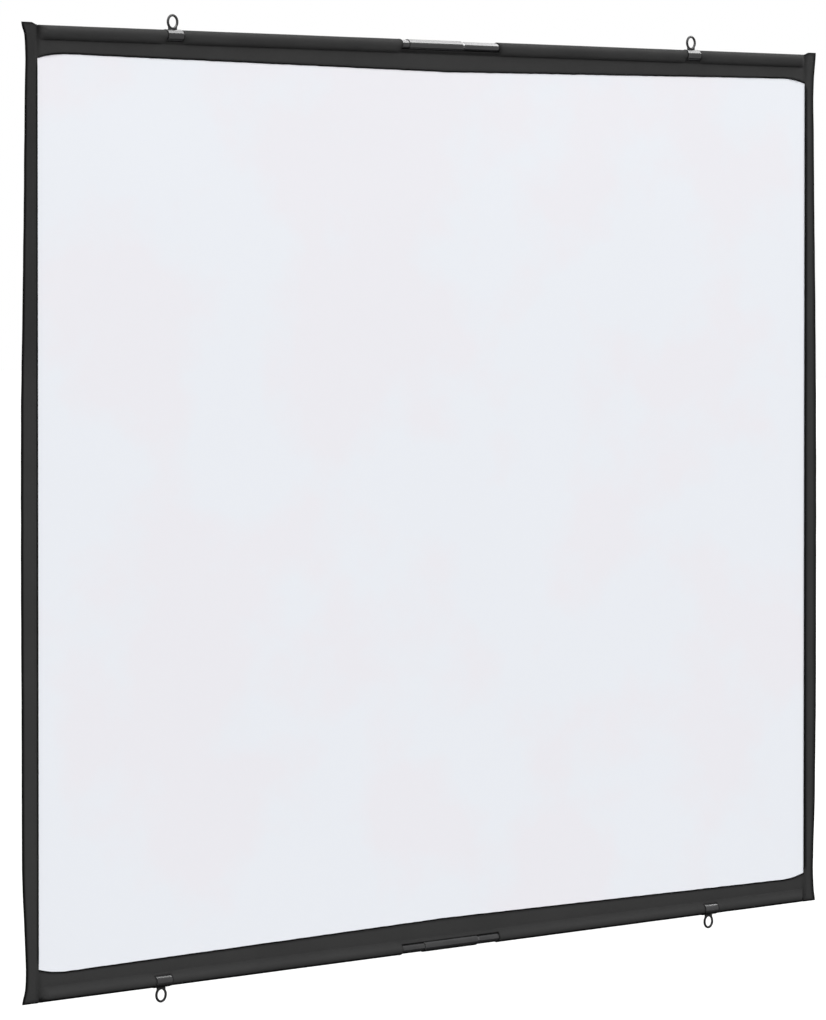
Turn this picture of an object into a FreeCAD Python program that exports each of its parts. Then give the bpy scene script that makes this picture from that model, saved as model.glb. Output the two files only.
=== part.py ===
# Hang-up projection screen: a white sheet edged in black cloth, on two plug-together steel bars.
# Millimetres. +X is to the right seen from the front, +Y goes into the wall and +Z is up.
# The origin is at the middle of the screen, on the line through the centres of the two top eyes.
import FreeCAD, Part
import math
import os

# White viewing area, 4:3
VIEW_WIDTH = 1463.0        # between the side hems
VIEW_HEIGHT = 1097.0       # between the bowed bands, midway between its least and its greatest

# Cloth
SHEET_THICKNESS = 0.45     # white coated sheet
CLOTH_THICKNESS = 0.6      # one layer of the black cloth

# Bars: two tubes, the left one's end in the right one's swaged socket, with a plug in each outer end
BAR_RADIUS = 6.0
BAR_WALL = 0.8
JOINT_CHAMFER = 0.4
TOP_JOINT_INSET = 14.0     # window's left side to the socket's mouth
BOTTOM_JOINT_INSET = 43.0
SOCKET_LENGTH = 100.0
SOCKET_SHOULDER = 3.0      # stretch where the socket narrows to the tube
SOCKET_CLEARANCE = 0.1     # left tube to the socket's bore
PLUG_STEM = 14.0
PLUG_HEAD = 3.0
PLUG_CHAMFER = 1.6
PLUG_CLEARANCE = 0.1

# Pockets: cloth folded over the bar, sewn below it, with a flap that hangs on past the seam
POCKET_CLEARANCE = 0.35    # bar to cloth
SEAM_BELOW_BAR = 4.85      # underside of the bar to the seam
FLAP_END = 16.3            # seam to the white near the ends
FLAP_MIDDLE = 22.8         # seam to the white in the middle
GUSSET_LENGTH = 48.0       # stretch beside each hem where the flap deepens again
GUSSET_DROP = 5.9
FLATTEN_LENGTH = 14.0      # stretch where the pocket goes from round to flat
WINDOW_WIDTH = 186.0       # middle cut-out, where the bar's halves go in and join
WINDOW_CLEARANCE = 0.1     # underside of the socket to the window's lower edges

# Side hems: cloth folded round the sheet's edge and the pockets' flat ends
HEM_TUCK = 15.0            # how far the sheet and the pockets go into the hem
HEM_WAIST = 19.8           # width just inside the ears
HEM_MIDDLE = 27.8          # width at half height, where the edge bows out
EAR_OUT = 5.7              # how far the ear at each corner stands out from the waist
EAR_STRAIGHT = 4.0
EAR_CURVE = 17.0
FLARE_RISE = 2.8           # how far the top corners stand above the pocket
FLARE_LENGTH = 12.0

# Collars round the bars, in notches of the pockets
COLLAR_WIDTH = 26.0
COLLAR_WALL = 1.4
COLLAR_CLEARANCE = 0.25    # collar to bar
COLLAR_CHAMFER = 0.3
NOTCH_CLEARANCE = 1.0      # collar to the notch's sides
NOTCH_DEPTH_CLEARANCE = 0.5    # collar to the notch's lower edges
TOP_LEFT_COLLAR_INSET = 229.5  # side hem to the middle of the collar
TOP_RIGHT_COLLAR_INSET = 244.2
BOTTOM_LEFT_COLLAR_INSET = 207.9
BOTTOM_RIGHT_COLLAR_INSET = 205.3

# Eyes of round wire, welded on the collars
EYE_BORE_RADIUS = 6.55
EYE_WIRE_RADIUS = 1.6
EYE_LAND = 1.2             # narrow flat round the inside of the eye
EYE_SEAT = 0.45            # how deep the wire sits in its weld
FOOT_WIDTH = 13.6          # weld along the collar
FOOT_HEIGHT = 5.2          # how far the weld reaches up the ring
FOOT_DEPTH = 2.4

# Sizes that follow
HALF_VIEW = VIEW_WIDTH / 2
BAR_BORE = BAR_RADIUS - BAR_WALL
SOCKET_BORE = BAR_RADIUS + SOCKET_CLEARANCE
SOCKET_OUTER = SOCKET_BORE + BAR_WALL
POCKET_INNER = BAR_RADIUS + POCKET_CLEARANCE
POCKET_OUTER = POCKET_INNER + CLOTH_THICKNESS
SEAM_DROP = BAR_RADIUS + SEAM_BELOW_BAR
BAND_HEM = SEAM_DROP + FLAP_END + GUSSET_DROP
SHEET_FACE = SHEET_THICKNESS / 2
FLAP_FACE = SHEET_FACE + CLOTH_THICKNESS
HEM_FACE = FLAP_FACE + CLOTH_THICKNESS
CLOTH_END = HALF_VIEW + HEM_TUCK
ROUND_END = HALF_VIEW - FLATTEN_LENGTH
BAR_END = ROUND_END - POCKET_CLEARANCE - PLUG_HEAD
COLLAR_BORE = BAR_RADIUS + COLLAR_CLEARANCE
COLLAR_OUTER = COLLAR_BORE + COLLAR_WALL
EYE_RING_RADIUS = EYE_BORE_RADIUS + math.sqrt(EYE_WIRE_RADIUS ** 2 - (EYE_LAND / 2) ** 2)
EYE_OUTER = EYE_RING_RADIUS + EYE_WIRE_RADIUS
EYE_RISE = COLLAR_OUTER + EYE_OUTER - EYE_SEAT
SEAM_TO_SEAM = VIEW_HEIGHT + FLAP_END + FLAP_MIDDLE
TOP_COLLARS = {"left": TOP_LEFT_COLLAR_INSET - HALF_VIEW, "right": HALF_VIEW - TOP_RIGHT_COLLAR_INSET}
BOTTOM_COLLARS = {"left": BOTTOM_LEFT_COLLAR_INSET - HALF_VIEW, "right": HALF_VIEW - BOTTOM_RIGHT_COLLAR_INSET}

# Heights
TOP_AXIS = -EYE_RISE
TOP_SEAM = TOP_AXIS - SEAM_DROP
BOTTOM_SEAM = TOP_SEAM - SEAM_TO_SEAM
BOTTOM_AXIS = BOTTOM_SEAM - SEAM_DROP

ALONG_X = FreeCAD.Vector(1, 0, 0)
ALONG_Y = FreeCAD.Vector(0, 1, 0)
ALONG_Z = FreeCAD.Vector(0, 0, 1)
ORIGIN = FreeCAD.Vector(0, 0, 0)


def line(a, b):
    return Part.LineSegment(a, b).toShape()


def arc(a, middle, b):
    return Part.Arc(a, middle, b).toShape()


def polygon(points):
    return Part.Face(Part.makePolygon(points + points[:1]))


def block(low, high):
    size = high - low
    return Part.makeBox(size.x, size.y, size.z, low)


def front_plate(edges, face):
    """A plate between y = -face and y = face, from edges drawn in the plane y = 0."""
    outline = Part.Face(Part.Wire(edges))
    outline.translate(ALONG_Y * -face)
    return outline.extrude(ALONG_Y * 2 * face)


def upside_down(shape):
    return shape.mirror(ORIGIN, ALONG_Z)


def left_for_right(shape):
    return shape.mirror(ORIGIN, ALONG_X)


def at_height(shape, z):
    moved = shape.copy()
    moved.translate(ALONG_Z * z)
    return moved


def s_curve(start, run, rise):
    """Two equal arcs from start along run and over by rise, level with run at both ends."""
    turn = 2 * math.atan(rise.Length / run.Length)
    radius = run.Length / 2 / math.sin(turn)
    ahead = FreeCAD.Vector(run).normalize()
    aside = FreeCAD.Vector(rise).normalize()
    first = ahead * radius * math.sin(turn / 2) + aside * radius * (1 - math.cos(turn / 2))
    middle = start + (run + rise) / 2
    end = start + run + rise
    return [arc(start, start + first, middle), arc(middle, end - first, end)]


def teardrop_side(radius, centre_z, half_gap):
    """One side of the fold: where it leaves the seam, where it meets the round and halfway up the round.

    The points are (y, z) with y negative. The straight stretch is tangent to the round.
    """
    drop = SEAM_DROP + centre_z
    reach = math.hypot(half_gap, drop)
    angle = math.atan2(-drop, -half_gap) - math.acos(radius / reach) + 2 * math.pi
    halfway = (angle + math.pi / 2) / 2
    touch = (radius * math.cos(angle), centre_z + radius * math.sin(angle))
    middle = (radius * math.cos(halfway), centre_z + radius * math.sin(halfway))
    return (-half_gap, -SEAM_DROP), touch, middle


def fold_edges(x, radius, centre_z, half_gap, depth):
    """The fold's line from the front flap's foot, over the bar and down to the back flap's foot."""
    seam, touch, middle = teardrop_side(radius, centre_z, half_gap)

    def at(point, side):
        return FreeCAD.Vector(x, side * point[0], point[1])

    foot = (-half_gap, -depth)
    crown = FreeCAD.Vector(x, 0, centre_z + radius)
    return [
        line(at(foot, 1), at(seam, 1)),
        line(at(seam, 1), at(touch, 1)),
        arc(at(touch, 1), at(middle, 1), crown),
        arc(crown, at(middle, -1), at(touch, -1)),
        line(at(touch, -1), at(seam, -1)),
        line(at(seam, -1), at(foot, -1)),
    ]


def pocket_section(x, flat):
    """The pocket's cut across the bar, round or flat, with its flaps longer than they end up."""
    depth = BAND_HEM + FLAP_MIDDLE
    outer = FLAP_FACE if flat else POCKET_OUTER
    inner = outer - CLOTH_THICKNESS
    centre_z = POCKET_OUTER - outer
    outside = fold_edges(x, outer, centre_z, FLAP_FACE, depth)
    inside = fold_edges(x, inner, centre_z, SHEET_FACE, depth)
    front_foot = line(inside[0].Vertexes[0].Point, outside[0].Vertexes[0].Point)
    back_foot = line(outside[-1].Vertexes[-1].Point, inside[-1].Vertexes[-1].Point)
    return Part.Wire(Part.sortEdges(outside + [back_foot] + inside + [front_foot])[0])


def pocket_outline():
    """The pocket seen from the front: its lower edge is a low tent with a gusset at each end."""
    flap_end = -(SEAM_DROP + FLAP_END)
    flap_middle = -(SEAM_DROP + FLAP_MIDDLE)
    tent_end = HALF_VIEW - GUSSET_LENGTH
    radius = (GUSSET_LENGTH ** 2 + GUSSET_DROP ** 2) / (2 * GUSSET_DROP)
    half_turn = math.asin(GUSSET_LENGTH / radius) / 2
    gusset_x = tent_end + radius * math.sin(half_turn)
    gusset_z = flap_end - radius * (1 - math.cos(half_turn))

    def at(x, z):
        return FreeCAD.Vector(x, 0, z)

    top_left = at(-CLOTH_END, POCKET_OUTER)
    top_right = at(CLOTH_END, POCKET_OUTER)
    return [
        line(top_left, at(-CLOTH_END, -BAND_HEM)),
        line(at(-CLOTH_END, -BAND_HEM), at(-HALF_VIEW, -BAND_HEM)),
        arc(at(-HALF_VIEW, -BAND_HEM), at(-gusset_x, gusset_z), at(-tent_end, flap_end)),
        line(at(-tent_end, flap_end), at(0, flap_middle)),
        line(at(0, flap_middle), at(tent_end, flap_end)),
        arc(at(tent_end, flap_end), at(gusset_x, gusset_z), at(HALF_VIEW, -BAND_HEM)),
        line(at(HALF_VIEW, -BAND_HEM), at(CLOTH_END, -BAND_HEM)),
        line(at(CLOTH_END, -BAND_HEM), top_right),
        line(top_right, top_left),
    ]


def cut_out(x, width, floor):
    """The space of a window or notch, from its lower edges to over the fold."""
    low = FreeCAD.Vector(x - width / 2, -2 * POCKET_OUTER, floor)
    high = FreeCAD.Vector(x + width / 2, 2 * POCKET_OUTER, 2 * POCKET_OUTER)
    return block(low, high)


def pocket(collars):
    """A pocket with its bar's axis at z = 0: round over the bar, flat in the hems, cut out at the metal."""
    round_part = Part.Face(pocket_section(-ROUND_END, False)).extrude(ALONG_X * 2 * ROUND_END)
    pieces = []
    for side in (-1, 1):
        sections = [pocket_section(side * ROUND_END, False), pocket_section(side * HALF_VIEW, True)]
        pieces.append(Part.makeLoft(sections, True, True))
        flat_face = Part.Face(pocket_section(side * HALF_VIEW, True))
        pieces.append(flat_face.extrude(ALONG_X * side * HEM_TUCK))
    cloth = round_part.fuse(pieces)
    cloth = cloth.common(front_plate(pocket_outline(), 2 * POCKET_OUTER))
    notch_width = COLLAR_WIDTH + 2 * NOTCH_CLEARANCE
    notch_floor = -(COLLAR_OUTER + NOTCH_DEPTH_CLEARANCE)
    openings = [cut_out(0, WINDOW_WIDTH, -(SOCKET_OUTER + WINDOW_CLEARANCE))]
    for collar_x in collars.values():
        openings.append(cut_out(collar_x, notch_width, notch_floor))
    return cloth.cut(openings).removeSplitter()


def sheet():
    low = FreeCAD.Vector(-CLOTH_END, -SHEET_FACE, BOTTOM_SEAM)
    high = FreeCAD.Vector(CLOTH_END, SHEET_FACE, TOP_SEAM)
    return block(low, high)


def right_hem(white_sheet):
    """The right hem: straight inside, bowed outside, with an ear at each corner and the top ear flared."""
    top = TOP_AXIS + POCKET_OUTER
    bottom = BOTTOM_AXIS - POCKET_OUTER
    ear = HALF_VIEW + HEM_WAIST + EAR_OUT

    def at(x, z):
        return FreeCAD.Vector(x, 0, z)

    inner_top = at(HALF_VIEW, top)
    flare = s_curve(inner_top, ALONG_X * FLARE_LENGTH, ALONG_Z * FLARE_RISE)
    flare_end = at(HALF_VIEW + FLARE_LENGTH, top + FLARE_RISE)
    top_corner = at(ear, top + FLARE_RISE)
    top_ear = at(ear, top - EAR_STRAIGHT)
    top_curve = s_curve(top_ear, ALONG_Z * -EAR_CURVE, ALONG_X * -EAR_OUT)
    top_waist = at(HALF_VIEW + HEM_WAIST, top - EAR_STRAIGHT - EAR_CURVE)
    bow = at(HALF_VIEW + HEM_MIDDLE, (top + bottom) / 2)
    bottom_waist = at(HALF_VIEW + HEM_WAIST, bottom + EAR_STRAIGHT + EAR_CURVE)
    bottom_curve = s_curve(bottom_waist, ALONG_Z * -EAR_CURVE, ALONG_X * EAR_OUT)
    bottom_ear = at(ear, bottom + EAR_STRAIGHT)
    bottom_corner = at(ear, bottom)
    inner_bottom = at(HALF_VIEW, bottom)
    edges = flare + [line(flare_end, top_corner), line(top_corner, top_ear)] + top_curve
    edges += [arc(top_waist, bow, bottom_waist)] + bottom_curve
    edges += [line(bottom_ear, bottom_corner), line(bottom_corner, inner_bottom)]
    edges += [line(inner_bottom, inner_top)]
    cloth = front_plate(edges, HEM_FACE)

    def pocket_end(low_z, high_z):
        low = FreeCAD.Vector(0, -FLAP_FACE, low_z)
        high = FreeCAD.Vector(CLOTH_END, FLAP_FACE, high_z)
        return block(low, high)

    top_end = pocket_end(TOP_AXIS - BAND_HEM, top)
    bottom_end = pocket_end(bottom, BOTTOM_AXIS + BAND_HEM)
    return cloth.cut([white_sheet, top_end, bottom_end])


def turned(points):
    """A solid of revolution round the X axis, from (x, radius) points."""
    outline = [FreeCAD.Vector(x, 0, radius) for x, radius in points]
    return polygon(outline).revolve(ORIGIN, ALONG_X, 360)


def left_half(joint):
    """A bar's left half, whose chamfered end reaches to the bottom of the other half's socket."""
    tip = joint + SOCKET_LENGTH
    return turned([
        (-BAR_END, BAR_BORE),
        (-BAR_END, BAR_RADIUS),
        (tip - JOINT_CHAMFER, BAR_RADIUS),
        (tip, BAR_RADIUS - JOINT_CHAMFER),
        (tip, BAR_BORE),
    ])


def right_half(joint):
    """A bar's right half, swaged out at the joint into a socket with a chamfered mouth."""
    shoulder = joint + SOCKET_LENGTH
    neck = shoulder + SOCKET_SHOULDER
    return turned([
        (BAR_END, BAR_BORE),
        (BAR_END, BAR_RADIUS),
        (neck, BAR_RADIUS),
        (shoulder, SOCKET_OUTER),
        (joint + JOINT_CHAMFER, SOCKET_OUTER),
        (joint, SOCKET_OUTER - JOINT_CHAMFER),
        (joint, SOCKET_BORE),
        (shoulder, SOCKET_BORE),
        (neck, BAR_BORE),
    ])


def right_plug():
    """A plug with its stem in the bar's right end and a broken-edged head against the tube's edge."""
    stem = BAR_BORE - PLUG_CLEARANCE
    tip = BAR_END - PLUG_STEM
    crown = BAR_END + PLUG_HEAD
    return turned([
        (tip, 0),
        (tip, stem - PLUG_CHAMFER),
        (tip + PLUG_CHAMFER, stem),
        (BAR_END, stem),
        (BAR_END, BAR_RADIUS),
        (crown - PLUG_CHAMFER, BAR_RADIUS),
        (crown, BAR_RADIUS - PLUG_CHAMFER),
        (crown, 0),
    ])


def collar():
    """A band round the bar, with its outer edges broken."""
    half = COLLAR_WIDTH / 2
    return turned([
        (-half, COLLAR_BORE),
        (-half, COLLAR_OUTER - COLLAR_CHAMFER),
        (COLLAR_CHAMFER - half, COLLAR_OUTER),
        (half - COLLAR_CHAMFER, COLLAR_OUTER),
        (half, COLLAR_OUTER - COLLAR_CHAMFER),
        (half, COLLAR_BORE),
    ])


def eye():
    """A wire ring with a narrow inner land, on a weld that saddles the collar and fills in beside the ring."""
    land_low = FreeCAD.Vector(EYE_BORE_RADIUS, -EYE_LAND / 2, 0)
    land_high = FreeCAD.Vector(EYE_BORE_RADIUS, EYE_LAND / 2, 0)
    outermost = FreeCAD.Vector(EYE_OUTER, 0, 0)
    lower = FreeCAD.Vector(EYE_RING_RADIUS, -EYE_WIRE_RADIUS, 0)
    upper = FreeCAD.Vector(EYE_RING_RADIUS, EYE_WIRE_RADIUS, 0)
    wire = Part.Wire([
        line(land_high, land_low),
        arc(land_low, lower, outermost),
        arc(outermost, upper, land_high),
    ])
    ring = at_height(Part.Face(wire).revolve(ORIGIN, ALONG_Y, 360), EYE_RISE)
    root = COLLAR_OUTER - COLLAR_WALL
    shoulder = COLLAR_OUTER + FOOT_HEIGHT
    shoulder_x = math.sqrt(EYE_RING_RADIUS ** 2 - (EYE_RISE - shoulder) ** 2)
    half_depth = ALONG_Y * FOOT_DEPTH / 2
    foot = polygon([
        FreeCAD.Vector(-FOOT_WIDTH / 2, 0, root) - half_depth,
        FreeCAD.Vector(FOOT_WIDTH / 2, 0, root) - half_depth,
        FreeCAD.Vector(shoulder_x, 0, shoulder) - half_depth,
        FreeCAD.Vector(-shoulder_x, 0, shoulder) - half_depth,
    ]).extrude(half_depth * 2)
    ring_centre = ALONG_Z * EYE_RISE
    within_ring = Part.makeCylinder(EYE_RING_RADIUS, FOOT_DEPTH, ring_centre - half_depth, ALONG_Y)
    seat = Part.makeCylinder(COLLAR_OUTER, 2 * FOOT_WIDTH, ALONG_X * -FOOT_WIDTH, ALONG_X)
    return ring.fuse(foot.cut(within_ring)).cut(seat).removeSplitter()


def bar_nodes(name, axis_z, joint):
    """The pieces of one bar, moved to its height."""
    plug = right_plug()
    pieces = {
        f"{name}_bar_left": left_half(joint),
        f"{name}_bar_right": right_half(joint),
        f"{name}_plug_left": left_for_right(plug),
        f"{name}_plug_right": plug,
    }
    return {node: at_height(shape, axis_z) for node, shape in pieces.items()}


def hanger_nodes(name, axis_z, collars, hangs_down):
    """The two collars of one bar and their eyes, which stand up or hang down."""
    upright_eye = eye()
    eye_shape = upside_down(upright_eye) if hangs_down else upright_eye
    pieces = {}
    for side, collar_x in collars.items():
        place = FreeCAD.Vector(collar_x, 0, axis_z)
        for piece, shape in (("collar", collar()), ("eye", eye_shape)):
            moved = shape.copy()
            moved.translate(place)
            pieces[f"{name}_{piece}_{side}"] = moved
    return pieces


def screen_nodes():
    white_sheet = sheet()
    hem = right_hem(white_sheet)
    nodes = {
        "screen_sheet": white_sheet,
        "side_hem_left": left_for_right(hem),
        "side_hem_right": hem,
        "top_pocket": at_height(pocket(TOP_COLLARS), TOP_AXIS),
        "bottom_pocket": at_height(upside_down(pocket(BOTTOM_COLLARS)), BOTTOM_AXIS),
    }
    nodes.update(bar_nodes("top", TOP_AXIS, TOP_JOINT_INSET - WINDOW_WIDTH / 2))
    nodes.update(bar_nodes("bottom", BOTTOM_AXIS, BOTTOM_JOINT_INSET - WINDOW_WIDTH / 2))
    nodes.update(hanger_nodes("top", TOP_AXIS, TOP_COLLARS, False))
    nodes.update(hanger_nodes("bottom", BOTTOM_AXIS, BOTTOM_COLLARS, True))
    return nodes


def main():
    os.makedirs("parts", exist_ok=True)
    for node, shape in screen_nodes().items():
        shape.exportStep(f"parts/{node}.step")


main()
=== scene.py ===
"""Hang-up projection screen: cloth, steel and studio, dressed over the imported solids."""

import math

import bmesh
import bpy
import numpy as np
from bpy.props import FloatProperty, FloatVectorProperty, IntProperty, PointerProperty
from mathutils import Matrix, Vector, noise


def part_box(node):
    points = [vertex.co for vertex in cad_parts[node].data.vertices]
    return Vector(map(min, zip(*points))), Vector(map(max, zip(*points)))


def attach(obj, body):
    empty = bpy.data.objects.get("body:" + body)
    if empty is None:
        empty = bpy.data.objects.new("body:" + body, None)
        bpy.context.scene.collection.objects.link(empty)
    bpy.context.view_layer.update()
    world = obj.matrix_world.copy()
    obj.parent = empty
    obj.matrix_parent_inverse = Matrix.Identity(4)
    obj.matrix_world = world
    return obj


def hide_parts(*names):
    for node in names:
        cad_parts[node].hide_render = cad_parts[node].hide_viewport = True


bl_info = {
    "name": "Hang-up projection screen",
    "version": (1, 0, 0),
    "blender": (4, 5, 0),
    "location": "View3D > Sidebar > Screen",
    "description": "Builds a white projection screen edged in black cloth, on two steel bars",
    "category": "Add Mesh",
}

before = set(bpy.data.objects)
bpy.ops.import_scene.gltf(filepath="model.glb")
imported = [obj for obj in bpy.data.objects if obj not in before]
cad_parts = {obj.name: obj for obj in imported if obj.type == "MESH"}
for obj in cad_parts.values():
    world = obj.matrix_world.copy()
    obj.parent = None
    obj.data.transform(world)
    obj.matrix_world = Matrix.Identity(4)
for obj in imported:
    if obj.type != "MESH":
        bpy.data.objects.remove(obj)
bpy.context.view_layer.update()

MM = 0.001
SCREEN = "screen"

# Painted shade on the black cloth: this dark at its edges, to a first distance, and clear from a second
EDGE_SHADE = 0.15
EDGE_DARK = 1.0 * MM
EDGE_CLEAR = 2.4 * MM
# The cloth's share of its brightness in the painted shade where a hem crosses a pocket's fold
DEEP_VALLEY_SHADE, SOFT_VALLEY_SHADE = 0.2, 0.6
# How far a bar and its collars are darkened below by painted shade, from not at all to as dark as an edge
UNDERSIDE_SHADE = {"top": 0.0, "bottom": 1.0}
# A noise lies mostly between these
NOISE_LOW, NOISE_HIGH = 0.3, 0.7
# How far each seed moves the start of a waver
SEED_STEP = (7.31, 3.17, 1.93)
# Sides of a turned piece
TURNED_SIDES = 72

# Lengths read from the solids
SHEET_LOW, SHEET_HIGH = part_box("screen_sheet")
HEM_LOW, HEM_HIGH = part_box("side_hem_right")
BAR_LOW, BAR_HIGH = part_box("top_bar_left")
LOWER_BAR_LOW, LOWER_BAR_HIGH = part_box("bottom_bar_left")
POCKET_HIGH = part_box("top_pocket")[1]
LOWER_POCKET_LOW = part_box("bottom_pocket")[0]
HALF_VIEW = HEM_LOW.x
CLOTH_END = SHEET_HIGH.x
SHEET_FACE = SHEET_HIGH.y
HEM_FACE = HEM_HIGH.y
BAR_RADIUS = BAR_HIGH.y
TOP_AXIS = (BAR_LOW.z + BAR_HIGH.z) / 2
BOTTOM_AXIS = (LOWER_BAR_LOW.z + LOWER_BAR_HIGH.z) / 2
SEAM_DROP = TOP_AXIS - SHEET_HIGH.z
POCKET_OUTER = POCKET_HIGH.z - TOP_AXIS
TOP = POCKET_HIGH.z
BOTTOM = LOWER_POCKET_LOW.z

# The hems' widths in millimetres, against how far down they are from the pocket's top to its bottom
LEFT_HEM_WIDTHS = (
    (0.000, 25.1), (0.005, 24.0), (0.011, 20.2), (0.020, 19.0), (0.036, 18.3), (0.056, 19.0),
    (0.077, 19.6), (0.128, 20.6), (0.179, 21.2), (0.281, 23.6), (0.384, 26.4), (0.486, 26.9),
    (0.588, 27.1), (0.690, 26.4), (0.793, 26.1), (0.865, 25.9), (0.895, 24.2), (0.935, 21.4),
    (0.966, 19.7), (0.979, 20.1), (0.987, 21.4), (0.997, 25.6), (1.000, 26.4),
)
RIGHT_HEM_WIDTHS = (
    (0.000, 24.6), (0.006, 24.2), (0.016, 22.6), (0.030, 20.5), (0.053, 19.3), (0.112, 20.7),
    (0.172, 21.6), (0.290, 24.4), (0.408, 26.4), (0.526, 27.1), (0.763, 27.1), (0.881, 24.9),
    (0.930, 22.4), (0.963, 20.9), (0.980, 22.0), (0.990, 23.2), (0.997, 25.4), (1.000, 25.8),
)


class ScreenCloth(bpy.types.PropertyGroup):
    """Sizes of the sewn cloth."""

    thickness: FloatProperty(
        name="Cloth thickness", description="One layer of the black cloth",
        default=0.6 * MM, min=0.2 * MM, max=2 * MM, precision=5, unit="LENGTH",
    )
    flap_end: FloatProperty(
        name="Flap at the ends", description="Seam to the white near the side hems",
        default=16.3 * MM, min=5 * MM, max=60 * MM, precision=5, unit="LENGTH",
    )
    flap_middle: FloatProperty(
        name="Flap in the middle", description="Seam to the white in the middle",
        default=22.8 * MM, min=5 * MM, max=60 * MM, precision=5, unit="LENGTH",
    )
    gusset_length: FloatProperty(
        name="Gusset length", description="Stretch beside each hem where the flap deepens",
        default=48 * MM, min=5 * MM, max=200 * MM, precision=5, unit="LENGTH",
    )
    gusset_drop: FloatProperty(
        name="Gusset drop", description="How far the flap deepens at the hem",
        default=5.9 * MM, min=0, max=30 * MM, precision=5, unit="LENGTH",
    )
    flatten_length: FloatProperty(
        name="Flattened end", description="Stretch where the pocket goes from round to flat",
        default=14 * MM, min=4 * MM, max=60 * MM, precision=5, unit="LENGTH",
    )
    window_width: FloatProperty(
        name="Window width", description="Middle cut-out, where the bar's joint shows",
        default=186 * MM, min=20 * MM, max=400 * MM, precision=5, unit="LENGTH",
    )
    window_front: FloatProperty(
        name="Window front", description="Bar's axis to the window's front edge",
        default=7 * MM, min=4 * MM, max=10 * MM, precision=5, unit="LENGTH",
    )
    window_back: FloatProperty(
        name="Window back", description="Bar's axis to the window's back edge, which is drawn nearer",
        default=5 * MM, min=4 * MM, max=10 * MM, precision=5, unit="LENGTH",
    )
    notch_width: FloatProperty(
        name="Notch width", description="Cut-out round each collar",
        default=29 * MM, min=10 * MM, max=80 * MM, precision=5, unit="LENGTH",
    )
    notch_depth: FloatProperty(
        name="Notch depth", description="Bar's axis to the notch's lower edges",
        default=7.85 * MM, min=4 * MM, max=10 * MM, precision=5, unit="LENGTH",
    )
    flare_rise: FloatProperty(
        name="Corner rise", description="How far the top corners stand above the pocket",
        default=2.8 * MM, min=0, max=10 * MM, precision=5, unit="LENGTH",
    )
    flare_length: FloatProperty(
        name="Corner run", description="Stretch over which the top corners rise",
        default=10 * MM, min=1 * MM, max=18 * MM, precision=5, unit="LENGTH",
    )
    pucker: FloatProperty(
        name="Pucker", description="Height of the gathers that the seams pull in the cloth",
        default=0.35 * MM, min=0, max=2 * MM, precision=5, unit="LENGTH",
    )
    top_fullness: FloatProperty(
        name="Top fullness", description="How far the top pocket's sides belly out, from straight to round",
        default=0.9, min=0, max=1,
    )
    bottom_fullness: FloatProperty(
        name="Bottom fullness", description="The same for the bottom pocket, which hangs on its bar",
        default=0.45, min=0, max=1,
    )
    slack: FloatProperty(
        name="Slack", description="How unevenly the pocket lies on the bar",
        default=0.25 * MM, min=0, max=0.4 * MM, precision=5, unit="LENGTH",
    )
    sheet_wave: FloatProperty(
        name="Sheet wave", description="Depth of the white sheet's long waves",
        default=1.2 * MM, min=0, max=6 * MM, precision=5, unit="LENGTH",
    )
    edging_radius: FloatProperty(
        name="Rolled edge", description="Radius of the rolled edge of each cut-out",
        default=0.45 * MM, min=0.2 * MM, max=1 * MM, precision=5, unit="LENGTH",
    )
    stitch_length: FloatProperty(
        name="Stitch length", description="Thread that shows between two needle holes",
        default=3.0 * MM, min=0.5 * MM, max=8 * MM, precision=5, unit="LENGTH",
    )
    stitch_pitch: FloatProperty(
        name="Stitch pitch", description="Needle hole to needle hole",
        default=3.8 * MM, min=0.6 * MM, max=10 * MM, precision=5, unit="LENGTH",
    )
    thread_radius: FloatProperty(
        name="Thread radius", description="Radius of the sewing thread",
        default=0.24 * MM, min=0.05 * MM, max=0.6 * MM, precision=5, unit="LENGTH",
    )
    seed: IntProperty(name="Seed", description="Start of the uneven stitches and gathers", default=4, min=0)


class ScreenFinish(bpy.types.PropertyGroup):
    """Colours of the screen."""

    sheet_cool: FloatVectorProperty(
        name="Sheet, cooler", description="White coating, cooler patches",
        default=(0.900, 0.925, 0.975), min=0, max=1, subtype="COLOR",
    )
    sheet_warm: FloatVectorProperty(
        name="Sheet, warmer", description="White coating, warmer patches",
        default=(0.912, 0.905, 0.950), min=0, max=1, subtype="COLOR",
    )
    cloth: FloatVectorProperty(
        name="Cloth", description="Black woven cloth",
        default=(0.043, 0.043, 0.043), min=0, max=1, subtype="COLOR",
    )
    thread: FloatVectorProperty(
        name="Thread", description="Black sewing thread",
        default=(0.030, 0.030, 0.031), min=0, max=1, subtype="COLOR",
    )
    bar: FloatVectorProperty(
        name="Bar", description="Dark satin paint on the bars",
        default=(0.026, 0.026, 0.027), min=0, max=1, subtype="COLOR",
    )
    collar: FloatVectorProperty(
        name="Collars", description="Dark satin paint on the collars",
        default=(0.032, 0.032, 0.033), min=0, max=1, subtype="COLOR",
    )
    eye: FloatVectorProperty(
        name="Eyes", description="Dark satin paint on the eyes",
        default=(0.016, 0.016, 0.017), min=0, max=1, subtype="COLOR",
    )
    bare_steel: FloatVectorProperty(
        name="Bare steel", description="Steel where the paint has rubbed off",
        default=(0.30, 0.29, 0.28), min=0, max=1, subtype="COLOR",
    )
    plug: FloatVectorProperty(
        name="Plugs", description="Moulded plastic of the end plugs",
        default=(0.018, 0.018, 0.019), min=0, max=1, subtype="COLOR",
    )


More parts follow.
